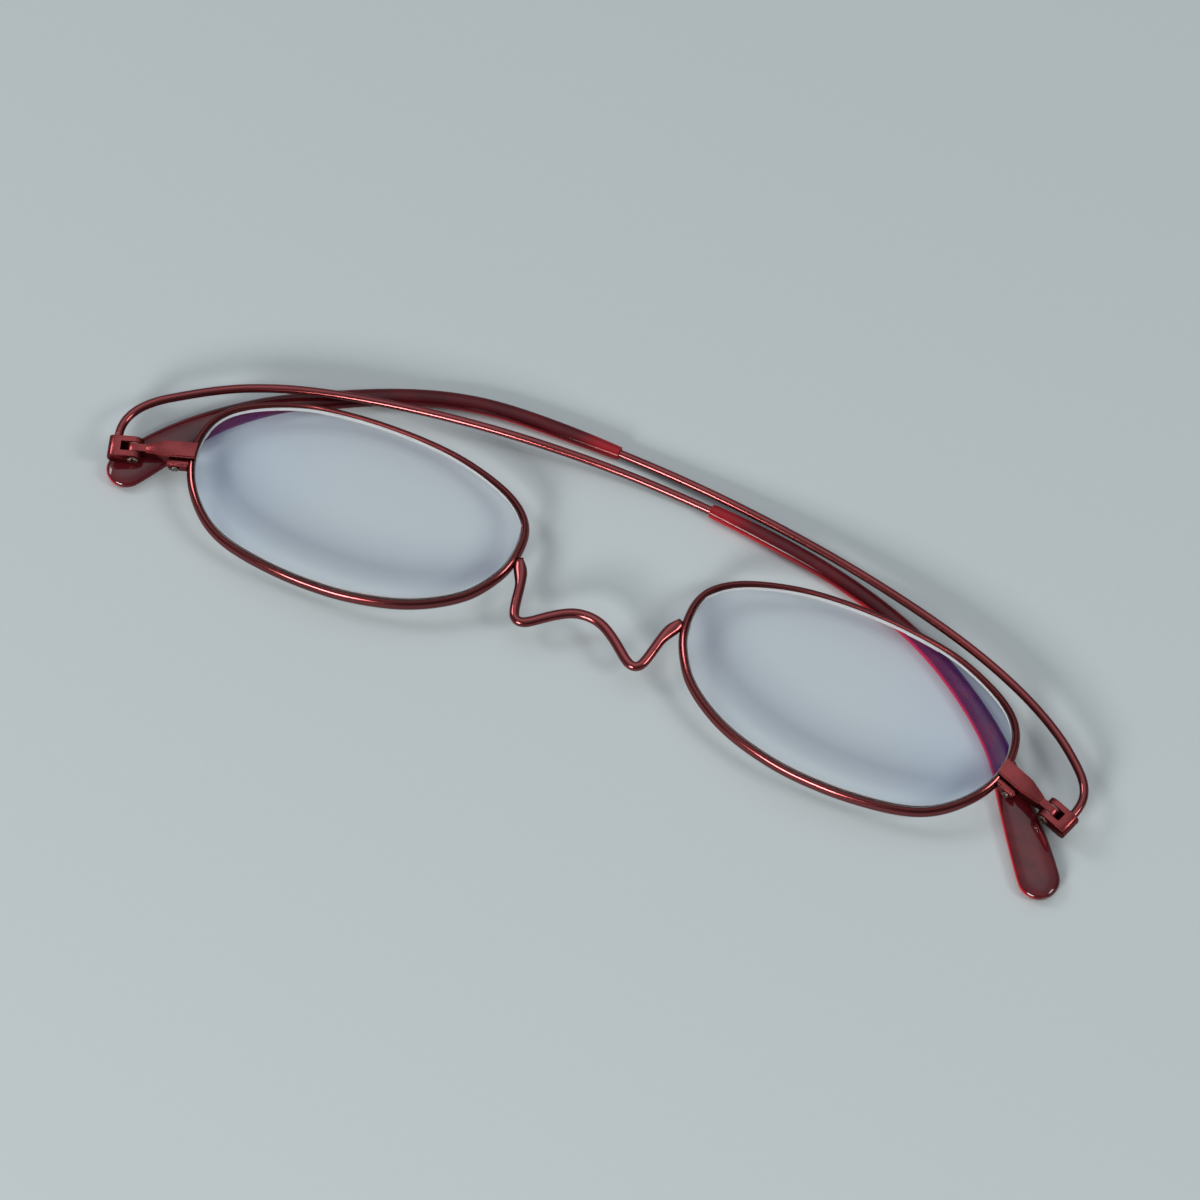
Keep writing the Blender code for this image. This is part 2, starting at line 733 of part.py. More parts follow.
def temple_line(side):
    """The temple's line in its hinge's frame, as a function of the distance from the elbow's foot."""
    start = FORK_WIDTH / 2 + ELBOW_STAND
    points = [(SOCKET_OUT + u * TEMPLE_REACH, start + v * TEMPLE_REACH) for u, v in side.shares]
    at, whole = by_length(spline(points))
    drop = FRONT_LEVEL - TIP_THICKNESS / 2
    sleeve_drop = FRONT_LEVEL - SLEEVE_DIAMETER / 2

    def place(distance):
        x, y = at(max(distance, 0.0))
        y += min(distance, 0.0)
        share = np.clip((distance - side.slope_start) / (SLOPE_END - side.slope_start), 0, 1)
        ease = share ** 2 * (3 - 2 * share)
        along = np.clip((distance - side.sleeve_start) / (whole - side.sleeve_start), 0, 1)
        low = sleeve_drop + (drop - sleeve_drop) * tip_share(along)
        return np.array([x, y, -low * ease])

    return place, whole


def tip_share(along):
    lengths, shares = zip(*TIP_SHARES)
    return float(np.interp(along, lengths, shares))


def temple_wire(side):
    place, whole = temple_line(side)
    elbow = whole * ELBOW_SHARE
    end = side.sleeve_start + CORE_LENGTH
    distances = [-ELBOW_STAND - SOCKET_DEPTH] + [elbow * i / ELBOW_STEPS for i in range(ELBOW_STEPS)]
    distances += [elbow + (end - elbow) * i / WIRE_STEPS for i in range(WIRE_STEPS + 1)]
    places = np.array([place(distance) for distance in distances])
    places[:, 0] *= side.sign
    wire = loft(round_rings(places, TEMPLE_DIAMETER / 2, WIRE_SIDES))
    return seat(finish("temple_wire_" + side.name, wire, metal("temple")), side.hinge)


def tip_ring(place, across, up, width, height):
    """An oval section with a narrow flat top and underside."""
    flat = math.sin(math.pi / 2 - math.pi / TIP_SIDES) ** (2 / TIP_SQUARENESS)
    ring = []
    for i in range(TIP_SIDES):
        a = 2 * math.pi * (i + 0.5) / TIP_SIDES
        c = math.copysign(abs(math.cos(a)) ** (2 / TIP_SQUARENESS), math.cos(a))
        s = math.copysign(abs(math.sin(a)) ** (2 / TIP_SQUARENESS), math.sin(a)) / flat
        ring.append(place + across * c * width / 2 + up * s * height / 2)
    return ring


def temple_tip(side):
    place, whole = temple_line(side)
    tip = whole - side.sleeve_start
    level = np.array((0, 0, 1))
    distances = [side.sleeve_start + tip * i / TIP_STEPS for i in range(TIP_STEPS + 1)]
    places = np.array([place(distance) for distance in distances])
    places[:, 0] *= side.sign
    tangents, across = frames_along(places)[:2]
    outer = []
    for k in range(len(places)):
        share = tip_share(k / TIP_STEPS)
        width = SLEEVE_DIAMETER + (PADDLE_WIDTH - SLEEVE_DIAMETER) * share
        height = SLEEVE_DIAMETER + (TIP_THICKNESS - SLEEVE_DIAMETER) * share
        outer.append(tip_ring(places[k], across[k], level, width, height))
    end = places[-1]
    forward = tangents[-1] * np.array((1, 1, 0))
    for i in range(1, TIP_END_STEPS + 1):
        a = math.pi / 2 * i / (TIP_END_STEPS + 1)
        spot = end + forward * math.sin(a) * PADDLE_WIDTH / 2
        wide = PADDLE_WIDTH * math.cos(a)
        tall = TIP_THICKNESS * math.cos(a) ** TIP_END_ROUNDING
        outer.append(tip_ring(spot, across[-1], level, wide, tall))
    depth = CORE_LENGTH + BORE_EXTRA
    steps = max(2, round(TIP_STEPS * depth / tip))
    inside = np.array([place(side.sleeve_start + depth * i / steps) for i in range(steps + 1)])
    inside[:, 0] *= side.sign
    bore = round_rings(inside, TEMPLE_DIAMETER / 2 + WIRE_CLEARANCE, TIP_SIDES)
    rings = bore[::-1] + outer
    paint = material("tip_translucent", TIP_RED, 0.15, 0.0)
    return seat(finish("temple_tip_" + side.name, loft(rings), paint, smooth_deg=TIP_SMOOTH_DEG), side.hinge)


# Assembly

class Side:
    """One side of the glasses, with the empties that place its pieces."""

    def __init__(self, name, sign, tilt, shares, slope_share, sleeve_share, front):
        self.name = name
        self.sign = sign
        self.shares = shares
        self.slope_start = slope_share * TEMPLE_REACH
        self.sleeve_start = sleeve_share * TEMPLE_REACH
        self.front = front
        x = END_ROOT_X + HINGE_REACH * math.cos(tilt)
        y = END_ROOT_Y - HINGE_REACH * math.sin(tilt)
        self.end = self.empty("end_frame_", x, y, tilt)
        self.hinge = self.empty("hinge_axis_", x, y, tilt)

    def empty(self, name, x, y, tilt):
        made = bpy.data.objects.new(name + self.name, None)
        bpy.context.scene.collection.objects.link(made)
        made.parent = self.front
        made.location = (self.sign * x, y, FRONT_LEVEL)
        made.rotation_euler = (0, 0, -self.sign * tilt)
        return made


def centre_on_table(root, pieces):
    """Moves the whole pair so that its bounding box stands centred on the origin."""
    bpy.context.view_layer.update()
    graph = bpy.context.evaluated_depsgraph_get()
    corners = []
    for piece in pieces:
        seen = piece.evaluated_get(graph)
        corners += [seen.matrix_world @ vertex.co for vertex in seen.data.vertices]
    spots = np.array(corners)
    low, high = spots.min(axis=0), spots.max(axis=0)
    root.location = (-(low[0] + high[0]) / 2, -(low[1] + high[1]) / 2, 0)


def main():
    start_clean()
    root = bpy.data.objects.new("glasses", None)
    bpy.context.scene.collection.objects.link(root)
    slope_left, slope_right = SLOPE_START_SHARES
    sleeve_left, sleeve_right = SLEEVE_START_SHARES
    sides = (
        Side("left", -1, TILTS[0], TEMPLE_SHARES_LEFT, slope_left, sleeve_left, root),
        Side("right", 1, TILTS[1], TEMPLE_SHARES_RIGHT, slope_right, sleeve_right, root),
    )
    pieces = [bridge(root, sides)]
    for side in sides:
        pieces += [
            rim(side),
            lens(side),
            end_piece(side),
            rim_lock(side),
            rim_lock_screw(side),
            washer(side, "hinge_washer_upper_", 1),
            washer(side, "hinge_washer_lower_", -1),
            fork(side),
            hinge_screw(side),
            temple_wire(side),
            temple_tip(side),
        ]
    centre_on_table(root, pieces)


main()
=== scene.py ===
# Folding reading glasses on a pale table: finer skins, finishes, lamps and camera
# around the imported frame. Metres, +Z up. Left and right are the photograph's.
import json
import math

import bmesh
import bpy
import numpy as np
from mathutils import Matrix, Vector


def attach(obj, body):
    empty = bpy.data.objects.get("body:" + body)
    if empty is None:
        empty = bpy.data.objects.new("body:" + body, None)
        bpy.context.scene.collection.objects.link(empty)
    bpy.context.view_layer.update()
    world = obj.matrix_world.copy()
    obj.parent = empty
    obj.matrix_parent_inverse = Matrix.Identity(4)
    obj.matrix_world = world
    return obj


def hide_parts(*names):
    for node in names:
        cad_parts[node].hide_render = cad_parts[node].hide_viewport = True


MM = 0.001

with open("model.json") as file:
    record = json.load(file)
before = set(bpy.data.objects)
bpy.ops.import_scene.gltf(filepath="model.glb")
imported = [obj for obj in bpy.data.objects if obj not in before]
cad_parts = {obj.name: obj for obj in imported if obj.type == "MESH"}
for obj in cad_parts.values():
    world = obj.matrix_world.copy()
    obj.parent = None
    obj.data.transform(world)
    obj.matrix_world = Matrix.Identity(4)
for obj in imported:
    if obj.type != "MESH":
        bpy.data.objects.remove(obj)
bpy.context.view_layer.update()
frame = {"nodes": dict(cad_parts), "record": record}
hinges = {joint["name"]: joint for joint in frame["record"]["behaviour"]["joints"]}

# Camera
CAMERA_PLACE = Vector((74.027, -177.69, 446.55)) * MM
CAMERA_TARGET = Vector((0.328, -3.791, 4.15)) * MM
CAMERA_SENSOR = 36
CAMERA_LENS = 113.81
CAMERA_CLIP = 10 * MM

# Lamps: name, place, size, watts, colour
LAMPS = (
    ("near_window", (-0.13, -0.75, 0.36), (0.30, 0.22), 5.2, (1.0, 0.98, 0.95)),
    ("right_window", (0.70, 0.05, 0.56), (0.24, 0.24), 2.0, (1.0, 0.98, 0.96)),
    ("left_window", (-0.70, 0.05, 0.56), (0.24, 0.24), 1.6, (0.98, 0.98, 1.0)),
)

# Sky: its colour, the way to its brightest part, which flat faces mirror to the camera, its
# lowest light, and each glow's strength and where it starts, as cosines from that way
SKY_COLOUR = (0.92, 0.96, 1.0, 1)
SKY_MIDDLE = (-0.153, 0.361, 0.920)
SKY_LOWEST = 0.12
SKY_GLOWS = ((0.50, 0.25), (0.60, 0.88))

# Floor
FLOOR_SIZE = 6.0
FLOOR_LEVEL = -0.01 * MM
FLOOR_COLOURS = ((0.450, 0.500, 0.515, 1), (0.460, 0.510, 0.525, 1))

# Wine-red coating: its two tones, its flake and the tint of its shine
WINE_TONES = ((0.160, 0.022, 0.024, 1), (0.225, 0.034, 0.036, 1))
WINE_FLAKE = (0.34, 0.085, 0.083, 1)
WINE_SHINE = (0.42, 0.12, 0.12, 1)

# Steel: clean and stained, and the painted highlight ring on the hinge screws with its inner and
# outer slopes
STEEL_TONES = ((0.17, 0.145, 0.13, 1), (0.19, 0.12, 0.08, 1))
STEEL_PAINTED_HIGHLIGHT = (0.62, 0.50, 0.40, 1)
RING_INSIDE = (0.40 * MM, 0.48 * MM)
RING_OUTSIDE = (0.58 * MM, 0.68 * MM)

NYLON_TONES = ((0.60, 0.56, 0.50, 1), (0.74, 0.71, 0.65, 1))

# Tip plastic: its two tones, the painted glow's tone where light would leave it, and the painted
# light that it emits there
TIP_TONES = ((0.062, 0.0048, 0.0082, 1), (0.100, 0.0070, 0.0110, 1))
TIP_PAINTED_GLOW = (0.45, 0.010, 0.018, 1)
NO_LIGHT = (0, 0, 0, 1)
TIP_PAINTED_EMISSION = (0.11, 0.0012, 0.003, 1)

# The tips' cut ends, and how far the painted glow reaches from them and up from the table
TIP_STARTS = {
    "left": (8.13 * MM, 14.58 * MM, 0.93 * MM),
    "right": (-5.88 * MM, 17.48 * MM, 0.93 * MM),
}
CUT_REACH = 2.0 * MM
END_GLOW = (2.5 * MM, 6.5 * MM)
LOW_GLOW = (0.10 * MM, 0.95 * MM)

# The way that the tips' flanks with painted glow face, standing in for light that crosses the
# plastic and leaves it there
GLOW_SIDE = (-0.72, -0.62, -0.31)
SIDE_GLOW = (0.22, 0.92)

# Where along a tip its shine grows, from the sleeve to the paddle
PADDLE_SHINE = (34 * MM, 52 * MM)

# Lens glass: its two tones, its painted reflection's bluer tone at the outer sides and where that
# starts, and its reflection
GLASS_TONES = ((0.895, 0.925, 0.922, 1), (0.910, 0.935, 0.930, 1))
GLASS_PAINTED_REFLECTION = (0.82, 0.885, 0.945, 1)
OUTER_SIDES = (34 * MM, 54 * MM)
GLASS_SHINE = (0.12, 0.10, 0.60, 1)
GROUND_TONES = ((0.44, 0.45, 0.46, 1), (0.60, 0.61, 0.62, 1))

# Lenses: their middles on the table, the two faces' levels and radii, and the back's ground band
LENS_MIDDLES = {"left": (-34.267 * MM, -4.062 * MM), "right": (33.733 * MM, -4.062 * MM)}
LENS_FRONT_LEVEL = 4.73 * MM
LENS_BACK_LEVEL = 2.93 * MM
LENS_FRONT_RADIUS = 230.0 * MM
LENS_BACK_RADIUS = 460.0 * MM
BACK_BAND = 0.30 * MM

# A lens's faces and points by how far they face up: its two faces, its faces' points, and its
# back edge's points
FACE_RISE = 0.9
POINT_RISE = 0.8
EDGE_RISES = (-0.9, -0.2)

# Skins: points of a CAD skin closer than JOIN are one, and triangles pair up within two angles
JOIN = 0.002 * MM
PAIR_FACE_DEG = 40
PAIR_SHAPE_DEG = 70
SUBDIVISIONS = 2

# Round pieces: the angle of a creased edge, and of one shaded sharp
CREASE_DEG = 50
ROUND_SHADE_DEG = 38
LENS_CREASE_DEG = 25
LENS_SHADE_DEG = 30

# What subdivision takes off each round piece, and how hard its edges are
BRIDGE_SWELL = 0.045 * MM
RIM_SWELL = 0.02 * MM
WIRE_SWELL = 0.055 * MM
TIP_SWELL = 0.01 * MM
FIRM_CREASE = 0.8
RIM_CREASE = 0.6

# Milled pieces: flat faces are whole within one angle, and edges past another are eased
WHOLE_DEG = 1
EASED_DEG = 28
EASED_STEPS = 3
MILLED_SHADE_DEG = 32
PLATE_EASE = 0.07 * MM
FORK_EASE = 0.09 * MM
HINGE_SCREW_EASE = 0.04 * MM
LOCK_SCREW_EASE = 0.03 * MM
WASHER_EASE = 0.02 * MM

# The bridge wire's ends: their tops, and the way to the rims
BRIDGE_ENDS = (
    (Vector((-10.93, -1.985, 3.45)) * MM, Vector((-0.98, -0.18, -0.05))),
    (Vector((10.396, -1.985, 3.45)) * MM, Vector((0.98, -0.18, -0.05))),
)

# The solder there: how thick it is at the top, how much it gains down to the corner, and its end
FILLET_TOP = 0.25 * MM
FILLET_GROWTH = 0.28 * MM
CORNER_DEPTH = 1.5 * MM
FILLET_END = 4.2 * MM

# The slope on the wire's outer side: its length, and its depth at the top
POINT_LENGTH = 1.9 * MM
POINT_DEPTH = 0.50 * MM

# The web under each fork's slot: its middle outwards and up from the hinge, its size across,
# outwards and up, and its eased edges
WEB_MIDDLE = (1.10 * MM, -1.085 * MM)
WEB_SIZE = (1.36 * MM, 1.50 * MM, 0.11 * MM)
WEB_EASE = 0.03 * MM
WEB_STEPS = 2


# Shader maths

class Value:
    """A shader socket that takes part in sums: each sum adds a Math node."""

    def __init__(self, nodes, socket):
        self.nodes = nodes
        self.socket = socket

    def __add__(self, other):
        return self.nodes.maths("ADD", self, other)

    def __sub__(self, other):
        return self.nodes.maths("SUBTRACT", self, other)

    def __rsub__(self, other):
        return self.nodes.maths("SUBTRACT", other, self)

    def __mul__(self, other):
        return self.nodes.maths("MULTIPLY", self, other)

    __radd__ = __add__
    __rmul__ = __mul__


class Nodes:
    """A node tree, and the one way in which nodes are added to it."""

    def __init__(self, tree):
        self.tree = tree

    def feed(self, socket, value):
        if isinstance(value, Value):
            self.tree.links.new(value.socket, socket)
        else:
            socket.default_value = value

    def node(self, kind, settings=None, inputs=None, output=0):
        made = self.tree.nodes.new("ShaderNode" + kind)
        for name, value in (settings or {}).items():
            setattr(made, name, value)
        for key, value in (inputs or {}).items():
            self.feed(made.inputs[key], value)
        return Value(self, made.outputs[output])

    def maths(self, operation, first, second):
        return self.node("Math", {"operation": operation}, {0: first, 1: second})

    def larger(self, first, second):
        return self.maths("MAXIMUM", first, second)

    def vectors(self, operation, *vectors, output="Value"):
        return self.node("VectorMath", {"operation": operation}, dict(enumerate(vectors)), output)

    def ramp(self, value, low, high):
        """0 below low, 1 above high, smooth between."""
        settings = {"interpolation_type": "SMOOTHSTEP"}
        return self.node("MapRange", settings, {"Value": value, "From Min": low, "From Max": high})

    def mix(self, share, first, second):
        settings = {"data_type": "RGBA"}
        return self.node("Mix", settings, {0: share, 6: first, 7: second}, 2)


class Paint(Nodes):
    """A material, and the nodes that vary it over the surface."""

    def __init__(self, name):
        self.material = bpy.data.materials.new(name)
        self.material.use_nodes = True
        super().__init__(self.material.node_tree)
        self.shader = self.tree.nodes["Principled BSDF"]
        self.place = self.node("TexCoord", output="Object")

    def noise(self, scale, detail=2.0, place=None):
        inputs = {"Vector": place or self.place, "Scale": scale, "Detail": detail}
        return self.node("TexNoise", {}, inputs, "Fac")

    def streaks(self, scale, detail=2.0):
        """Noise with each axis scaled by itself."""
        place = self.node("Mapping", {}, {"Vector": self.place, "Scale": scale})
        return self.noise(1.0, detail, place)

    def along(self, axis):
        return self.node("SeparateXYZ", {}, {"Vector": self.place}, axis)

    def bump(self, height, depth, strength):
        inputs = {"Height": height, "Distance": depth, "Strength": strength}
        self.feed(self.shader.inputs["Normal"], self.node("Bump", {}, inputs))

    def set(self, **sockets):
        for name, value in sockets.items():
            self.feed(self.shader.inputs[name.replace("_", " ")], value)


# Finishes

def wine_coating(name, roughness, flake_share, coat, grain, drift_scale):
    """Wine-red coating over bright metal, with a fine flake and a slow drift of tone."""
    paint = Paint(name)
    flake = paint.ramp(paint.noise(scale=7000, detail=1.0), low=0.42, high=0.66)
    drift = paint.ramp(paint.noise(drift_scale, detail=3.0), low=0.35, high=0.65)
    base = paint.mix(drift, *WINE_TONES)
    paint.set(Base_Color=paint.mix(flake * flake_share, base, WINE_FLAKE))
    paint.set(Roughness=roughness + 0.03 * flake + 0.03 * drift)
    paint.set(Metallic=0.95, Coat_Weight=coat, Coat_Roughness=0.11, Coat_IOR=1.5)
    paint.set(Specular_Tint=WINE_SHINE)
    paint.bump(paint.noise(scale=6500), depth=grain, strength=0.25)
    return paint.material


def stained_steel_and_highlight(name, middle=None, axis=None):
    """Turned steel with fine rings and brassy stains. With an axis through a middle, a bright ring
    is painted round it as a painted highlight."""
    paint = Paint(name)
    rings = paint.streaks(scale=(900, 9000, 900))
    stain = paint.ramp(paint.noise(scale=2200, detail=3.0), low=0.45, high=0.70)
    steel = paint.mix(stain, *STEEL_TONES)
    if axis:
        # Painted highlight: a bright ring round the screw's axis
        arm = paint.vectors("SUBTRACT", paint.place, middle, output="Vector")
        across = paint.vectors("CROSS_PRODUCT", arm, axis, output="Vector")
        radius = paint.vectors("LENGTH", across)
        ring = paint.ramp(radius, *RING_INSIDE) - paint.ramp(radius, *RING_OUTSIDE)
        steel = paint.mix(ring, steel, STEEL_PAINTED_HIGHLIGHT)
    paint.set(Base_Color=steel, Roughness=0.20 + 0.15 * rings, Metallic=1.0)
    paint.bump(rings, depth=0.004 * MM, strength=0.6)
    return paint.material


def washer_nylon():
    """Pale nylon, lightly speckled."""
    paint = Paint("washer_nylon")
    speckle = paint.noise(scale=3500)
    paint.set(Base_Color=paint.mix(speckle, *NYLON_TONES), Roughness=0.42 + 0.12 * speckle)
    return paint.material


def tip_plastic(side, start):
    """Clear deep red plastic with painted light: painted brighter at the cut end, low down and
    along one flank, and painted to emit light at the cut end and on that flank, where light that
    crosses it would come out."""
    paint = Paint("tip_plastic_" + side)
    away = paint.vectors("DISTANCE", paint.place, start)
    facing = paint.vectors("DOT_PRODUCT", paint.node("TexCoord", output="Normal"), GLOW_SIDE)
    end_glow = 1 - paint.ramp(away, *END_GLOW)
    low_glow = 1 - paint.ramp(paint.along("Z"), *LOW_GLOW)
    side_glow = paint.ramp(facing, *SIDE_GLOW)
    swirl = paint.ramp(paint.streaks(scale=(160, 420, 420), detail=3.0), low=0.35, high=0.70)
    # Painted glow: the colour is painted brighter at the cut end, low down and on the flank facing
    # GLOW_SIDE
    glow = paint.larger(end_glow * 0.38, paint.larger(low_glow * 0.3, side_glow))
    paint.set(Base_Color=paint.mix(glow, paint.mix(swirl, *TIP_TONES), TIP_PAINTED_GLOW))
    # Painted light: the plastic emits a red glow at the cut end and on that flank, though it is no
    # lamp
    painted_emission_share = paint.larger(end_glow * 0.2, side_glow)
    paint.set(Emission_Color=paint.mix(painted_emission_share, NO_LIGHT, TIP_PAINTED_EMISSION), Emission_Strength=1.0)
    cloud = paint.noise(scale=600, detail=3.0)
    paint.set(Roughness=0.13 + 0.05 * cloud, Specular_IOR_Level=0.10)
    shine = paint.ramp(away, *PADDLE_SHINE)
    paint.set(Coat_Weight=0.20 + 0.50 * shine, Coat_Roughness=0.05)
    paint.bump(paint.noise(scale=300, detail=1.0), depth=0.004 * MM, strength=0.15)
    return paint.material


def lens_glass():
    """Clear glass with a faint blue cast, a painted reflection that turns it bluer towards its
    outer sides, and a thin film's violet reflection.
    """
    paint = Paint("lens_glass")
    outward = paint.maths("ABSOLUTE", paint.along("X"), 0)
    middle = paint.mix(paint.noise(scale=45), *GLASS_TONES)
    # Painted reflection: the glass's colour is mixed bluer towards the outer sides
    paint.set(Base_Color=paint.mix(paint.ramp(outward, *OUTER_SIDES), middle, GLASS_PAINTED_REFLECTION))
    paint.set(Roughness=0.0, Transmission_Weight=1.0, IOR=1.5, Specular_Tint=GLASS_SHINE)
    return paint.material


def ground_edge():
    """The lens's ground edge: frosted silver grey."""
    paint = Paint("lens_ground_edge")
    grind = paint.streaks(scale=(900, 900, 6500))
    paint.set(Base_Color=paint.mix(grind, *GROUND_TONES), Roughness=0.45 + 0.2 * grind)
    paint.bump(grind, depth=0.01 * MM, strength=0.5)
    return paint.material


# Modelling by hand

def pick(piece):
    """Makes a piece the only one selected, and the active one."""
    bpy.ops.object.select_all(action="DESELECT")
    piece.select_set(True)
    bpy.context.view_layer.objects.active = piece


def apply_modifier(piece, kind, **settings):
    made = piece.modifiers.new(kind.lower(), kind)
    for name, value in settings.items():
        setattr(made, name, value)
    pick(piece)
    bpy.ops.object.modifier_apply(modifier=made.name)


def shade(piece, sharp_deg):
    """Shades a piece smooth, but for edges sharper than an angle."""
    pick(piece)
    bpy.ops.object.shade_smooth_by_angle(angle=math.radians(sharp_deg))


def joined_copy(node, name):
    """A copy of a CAD solid whose loose triangles are joined into one skin, left in edit mode."""
    piece = bpy.data.objects.new(name, frame["nodes"][node].data.copy())
    bpy.context.scene.collection.objects.link(piece)
    piece.data.materials.clear()
    pick(piece)
    bpy.ops.mesh.customdata_custom_splitnormals_clear()
    bpy.ops.object.mode_set(mode="EDIT")
    bpy.ops.mesh.select_mode(type="EDGE")
    bpy.ops.mesh.select_all(action="SELECT")
    bpy.ops.mesh.remove_doubles(threshold=JOIN)
    bpy.ops.mesh.mark_sharp(clear=True)
    return piece


def pair_triangles():
    """Turns pairs of triangles into quads, and leaves nothing selected."""
    bpy.ops.mesh.select_all(action="SELECT")
    bpy.ops.mesh.tris_convert_to_quads(face_threshold=math.radians(PAIR_FACE_DEG),
                                       shape_threshold=math.radians(PAIR_SHAPE_DEG))
    bpy.ops.mesh.select_all(action="DESELECT")


def subdivide(piece, sharp_deg):
    """Leaves edit mode, subdivides a creased skin and shades it."""
    bpy.ops.object.mode_set(mode="OBJECT")
    apply_modifier(piece, "SUBSURF", levels=SUBDIVISIONS, render_levels=SUBDIVISIONS)
    shade(piece, sharp_deg)


def keep_near(piece, point, reach):
    """Leaves only the edges within reach of a point in the selection."""
    mesh = bmesh.from_edit_mesh(piece.data)
    for edge in mesh.edges:
        middle = (edge.verts[0].co + edge.verts[1].co) / 2
        if edge.select and (middle - Vector(point)).length > reach:
            edge.select_set(False)
    bmesh.update_edit_mesh(piece.data)


def smooth_skin(node, name, swell, crease=FIRM_CREASE, cut_end=None):
    """A round piece's smooth skin: quads, sharp edges creased, swollen by what subdivision
    takes off. With a cut end, a point and a reach, only the edges there are creased."""
    piece = joined_copy(node, name)
    pair_triangles()
    bpy.ops.mesh.edges_select_sharp(sharpness=math.radians(CREASE_DEG))
    if cut_end:
        keep_near(piece, *cut_end)
    bpy.ops.transform.edge_crease(value=crease)
    bpy.ops.mesh.select_all(action="SELECT")
    bpy.ops.transform.shrink_fatten(value=swell)
    subdivide(piece, ROUND_SHADE_DEG)
    return piece


def machined_skin(node, name, ease):
    """A milled or turned piece's skin: flat faces made whole and every sharp edge eased."""
    piece = joined_copy(node, name)
    bpy.ops.mesh.select_all(action="SELECT")
    bpy.ops.mesh.dissolve_limited(angle_limit=math.radians(WHOLE_DEG))
    bpy.ops.object.mode_set(mode="OBJECT")
    apply_modifier(piece, "BEVEL", width=ease, segments=EASED_STEPS, limit_method="ANGLE",
                   angle_limit=math.radians(EASED_DEG))
    shade(piece, MILLED_SHADE_DEG)
    return piece


def settle(piece, body, node, slot, *paints):
    """Paints a finished piece, gives it its body, and hides the CAD node that it replaces. The
    slot is not used.
    """
    for paint in paints:
        piece.data.materials.append(paint)
    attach(piece, body)
    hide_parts(node)


def dome(level, radius, away):
    """The height of a lens's spherical face, this far from its middle."""
    return level - radius + math.sqrt(radius ** 2 - away ** 2)


def back_edge(mesh):
    """The points of a lens's back edge, on the table."""
    spots = np.array([vertex.co for vertex in mesh.vertices])
    rises = np.array([vertex.normal.z for vertex in mesh.vertices])
    low, high = EDGE_RISES
    return spots[(rises < high) & (rises > low), :2]


def steps_to(points, place):
    """The shortest way on the table from a place to one of the points, along x and then y."""
    return np.abs(points - np.array(place[:2])).sum(axis=1).min()


def lens(side):
    """A lens with true spherical faces, a ground edge, and a ground band round its back."""
    piece = joined_copy("lens_" + side, "lens_ground_" + side)
    bpy.ops.mesh.select_mode(type="FACE")
    pair_triangles()
    skin = bmesh.from_edit_mesh(piece.data)
    for face in skin.faces:
        face.select_set(face.normal.z < -FACE_RISE)
    bmesh.update_edit_mesh(piece.data)
    bpy.ops.mesh.inset(thickness=BACK_BAND, depth=0)
    bpy.ops.mesh.select_mode(type="EDGE")
    bpy.ops.mesh.select_all(action="DESELECT")
    bpy.ops.mesh.edges_select_sharp(sharpness=math.radians(LENS_CREASE_DEG))
    bpy.ops.transform.edge_crease(value=1)
    subdivide(piece, LENS_SHADE_DEG)

    mesh = piece.data
    middle = LENS_MIDDLES[side]
    rises = [vertex.normal.z for vertex in mesh.vertices]
    for vertex, rise in zip(mesh.vertices, rises):
        away = math.hypot(vertex.co.x - middle[0], vertex.co.y - middle[1])
        if rise > POINT_RISE:
            vertex.co.z = dome(LENS_FRONT_LEVEL, LENS_FRONT_RADIUS, away)
        elif rise < -POINT_RISE:
            vertex.co.z = dome(LENS_BACK_LEVEL, LENS_BACK_RADIUS, away)

    settle(piece, "front", "lens_" + side, "lens_glass", clear_glass, frosted_glass)
    piece.visible_shadow = piece.visible_diffuse = False
    edge = back_edge(mesh)
    for face in mesh.polygons:
        side_on = abs(face.normal.z) < FACE_RISE
        in_band = face.normal.z < 0 and steps_to(edge, face.center) < BACK_BAND
        face.material_index = int(side_on or in_band)


def flare(piece, end, toward):
    """Runs an end of the bridge wire into its rim, as solder does: the side that faces the rim
    swells, and the outer side slopes to a point."""
    mesh = piece.data
    normals = [vertex.normal.copy() for vertex in mesh.vertices]
    for vertex, normal in zip(mesh.vertices, normals):
        down = end.y - vertex.co.y
        if down < FILLET_END and (vertex.co - end).length < 2 * FILLET_END:
            past = max(0, (down - CORNER_DEPTH) / (FILLET_END - CORNER_DEPTH))
            thick = FILLET_TOP + FILLET_GROWTH * min(down / CORNER_DEPTH, 1)
            swell = thick * (1 - past * past * (3 - 2 * past))
            slope = POINT_DEPTH * max(0, 1 - down / POINT_LENGTH) ** 2
            facing = normal.dot(toward)
            vertex.co += toward * (swell * max(0, facing) + slope * max(0, -facing))


def web_under_slot(fork, hinge):
    """A thin web that closes the back of a fork's slot at its outer end, clear of the turning
    tongue."""
    middle = Vector(hinge["pos_m"])
    up = Vector((0, 0, 1))
    outward = Vector(hinge["axis"]).cross(up)
    if outward.x * middle.x < 0:
        outward.negate()
    across = outward.cross(up)
    bpy.ops.object.select_all(action="DESELECT")
    bpy.ops.mesh.primitive_cube_add(size=1)
    web = bpy.context.object
    for vertex in web.data.vertices:
        reach = [share * size for share, size in zip(vertex.co, WEB_SIZE)]
        vertex.co = (middle + across * reach[0] + outward * (WEB_MIDDLE[0] + reach[1])
                     + up * (WEB_MIDDLE[1] + reach[2]))
    apply_modifier(web, "BEVEL", width=WEB_EASE, segments=WEB_STEPS)
    pick(fork)
    web.select_set(True)
    bpy.ops.object.join()


# The stage

def camera():
    bpy.ops.object.camera_add(location=CAMERA_PLACE)
    made = bpy.context.object
    made.name = "photo_camera"
    made.rotation_euler = (CAMERA_TARGET - CAMERA_PLACE).to_track_quat("-Z", "Y").to_euler()
    made.data.sensor_width = CAMERA_SENSOR
    made.data.lens = CAMERA_LENS
    made.data.clip_start = CAMERA_CLIP
    bpy.context.scene.camera = made


